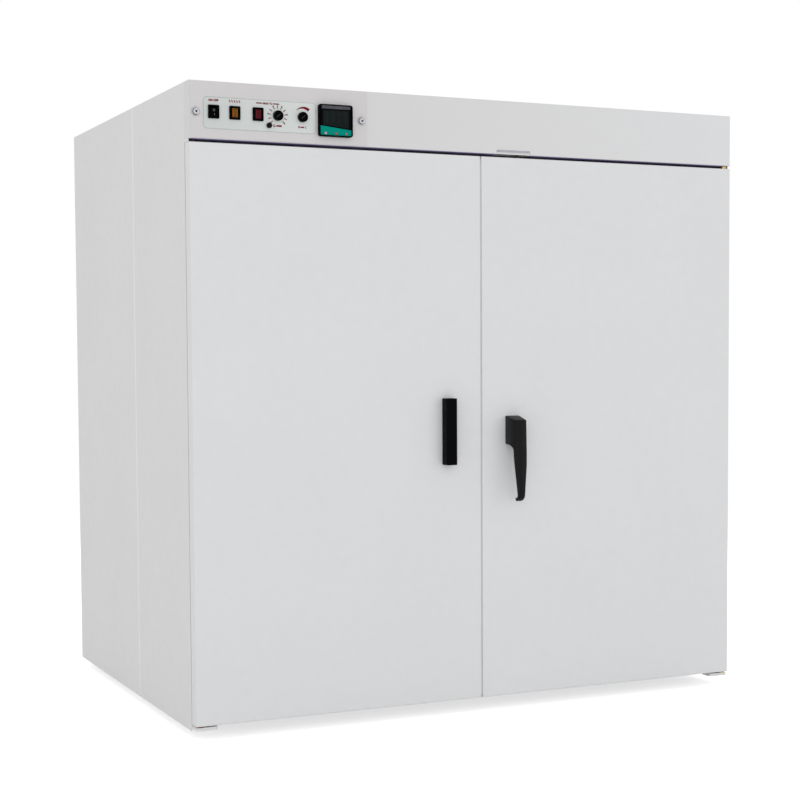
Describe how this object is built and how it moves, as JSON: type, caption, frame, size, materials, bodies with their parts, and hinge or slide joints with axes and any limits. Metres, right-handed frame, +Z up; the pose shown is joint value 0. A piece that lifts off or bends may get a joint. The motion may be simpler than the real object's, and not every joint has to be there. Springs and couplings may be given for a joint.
{
  "type": "laboratory oven",
  "caption": "Free-standing laboratory drying oven with paired insulated doors, a lever latch, a fixed pull, a control strip above the doors, wire shelves and a rear fan.",
  "frame": {"origin": "on the floor under the middle of the overall size", "axes": "+X to the right of someone facing the doors, +Y from the doors to the rear cover, +Z up"},
  "size_m": [0.995, 0.7767, 1.021],
  "materials": {
    "front_paint": "light grey-white powder coat",
    "side_paint": "light grey powder coat",
    "plate_paint": "satin light grey",
    "inner_steel": "zinc plated sheet",
    "liner_steel": "stainless sheet",
    "element_steel": "heat-darkened steel tube",
    "screw_steel": "bright plated",
    "shelf_wire": "bright plated wire",
    "washer_brass": "plain brass",
    "motor_paint": "dark enamel",
    "magnet_black": "dull black",
    "wool": "mineral wool felt",
    "seal_rubber": "matte silicone",
    "foot_rubber": "matte",
    "label_film": "printed film",
    "black_plastic": "moulded matte",
    "black_gloss": "moulded gloss",
    "case_plastic": "moulded fine grain",
    "window_plastic": "dark tinted window",
    "amber_plastic": "amber lens",
    "red_plastic": "dark red lens",
    "key_plastic": "red moulded key"
  },
  "bodies": {
    "cabinet": {"base_pan": "inner_steel", "feet": "foot_rubber", "left_front_panel": "side_paint", "left_rear_panel": "side_paint", "right_front_panel": "side_paint", "right_rear_panel": "side_paint", "top_cover": "side_paint", "rear_cover": "side_paint", "rear_cover_screws": "screw_steel", "front_frame": "inner_steel", "fascia": "front_paint", "control_plate": "plate_paint", "control_label": "label_film", "plate_screws": "screw_steel", "chamber_liner": "liner_steel", "insulation": "wool", "rear_baffle": "liner_steel", "heating_element": "element_steel", "fan_motor": "motor_paint", "shelf_runners": "liner_steel", "temperature_probe": "screw_steel", "vent_duct": "liner_steel", "door_seal": "seal_rubber", "hinge_plates": "plate_paint", "hinge_pins": "screw_steel", "hinge_washers": "washer_brass", "catch_magnets": "magnet_black", "cable_gland": "black_plastic", "heater_relay": "black_plastic", "thermostat_body": "black_plastic", "switch_bezels": "black_plastic", "amber_lens": "amber_plastic", "red_lens": "red_plastic", "controller_case": "case_plastic", "controller_window": "window_plastic"},
    "rocker": {"power_rocker": "black_gloss"},
    "thermostat": {"thermostat_knob": "black_gloss"},
    "reset": {"reset_button": "black_gloss"},
    "vent": {"vent_knob": "black_gloss", "vent_damper": "liner_steel"},
    "key_left": {"key_left": "key_plastic"},
    "key_middle": {"key_middle": "key_plastic"},
    "key_right": {"key_right": "key_plastic"},
    "fan": {"fan_shaft": "screw_steel", "fan_impeller": "liner_steel"},
    "shelf_lower": {"shelf_lower": "shelf_wire"},
    "shelf_middle": {"shelf_middle": "shelf_wire"},
    "shelf_upper": {"shelf_upper": "shelf_wire"},
    "left_door": {"left_door_skin": "front_paint", "left_door_liner": "liner_steel", "left_door_insulation": "wool", "left_pull": "black_plastic", "centre_seal": "seal_rubber"},
    "right_door": {"right_door_skin": "front_paint", "right_door_liner": "liner_steel", "right_door_insulation": "wool", "latch_housing": "inner_steel"},
    "lever": {"lever_handle": "black_plastic", "lever_spindle": "screw_steel"},
    "latch_rod": {"latch_rod": "screw_steel"}
  },
  "joints": [
    {"name": "left_door_hinge", "type": "hinge", "parent": "cabinet", "child": "left_door", "pos_m": [-0.4895, -0.3445, 0.474], "axis": [0, 0, -1], "range_deg": [0, 110]},
    {"name": "right_door_hinge", "type": "hinge", "parent": "cabinet", "child": "right_door", "pos_m": [0.4895, -0.3445, 0.474], "axis": [0, 0, 1], "range_deg": [0, 110]},
    {"name": "lever_turn", "type": "hinge", "parent": "right_door", "child": "lever", "pos_m": [0.0575, -0.3535, 0.472], "axis": [0, -1, 0], "range_deg": [0, 90]},
    {"name": "latch_rod_slide", "type": "slide", "parent": "right_door", "child": "latch_rod", "axis": [0, 0, 1], "range_m": [0, 0.01415]},
    {"name": "power_rocker_tilt", "type": "hinge", "parent": "cabinet", "child": "rocker", "pos_m": [-0.45941, -0.3514, 0.9685], "axis": [-1, 0, 0], "range_deg": [0, 16]},
    {"name": "thermostat_turn", "type": "hinge", "parent": "cabinet", "child": "thermostat", "pos_m": [-0.35569, -0.355, 0.968], "axis": [0, 1, 0], "range_deg": [0, 270]},
    {"name": "reset_press", "type": "slide", "parent": "cabinet", "child": "reset", "axis": [0, 1, 0], "range_m": [0, 0.0025], "stiffness_N_per_m": 300, "springref_m": -0.002},
    {"name": "vent_turn", "type": "hinge", "parent": "cabinet", "child": "vent", "pos_m": [-0.31481, -0.2035, 0.968], "axis": [0, 1, 0], "range_deg": [0, 90]},
    {"name": "key_left_press", "type": "slide", "parent": "cabinet", "child": "key_left", "axis": [0, 1, 0], "range_m": [0, 0.0008], "stiffness_N_per_m": 300, "springref_m": -0.001},
    {"name": "key_middle_press", "type": "slide", "parent": "cabinet", "child": "key_middle", "axis": [0, 1, 0], "range_m": [0, 0.0008], "stiffness_N_per_m": 300, "springref_m": -0.001},
    {"name": "key_right_press", "type": "slide", "parent": "cabinet", "child": "key_right", "axis": [0, 1, 0], "range_m": [0, 0.0008], "stiffness_N_per_m": 300, "springref_m": -0.001},
    {"name": "fan_spin", "type": "hinge", "parent": "cabinet", "child": "fan", "pos_m": [0, 0.2045, 0.4625], "axis": [0, 1, 0], "continuous": true},
    {"name": "shelf_lower_slide", "type": "slide", "parent": "cabinet", "child": "shelf_lower", "axis": [0, -1, 0], "range_m": [0, 0.025]},
    {"name": "shelf_middle_slide", "type": "slide", "parent": "cabinet", "child": "shelf_middle", "axis": [0, -1, 0], "range_m": [0, 0.025]},
    {"name": "shelf_upper_slide", "type": "slide", "parent": "cabinet", "child": "shelf_upper", "axis": [0, -1, 0], "range_m": [0, 0.025]}
  ],
  "couplings": [
    {"joint": "latch_rod_slide", "follows": "lever_turn", "m_per_rad": 0.009}
  ]
}
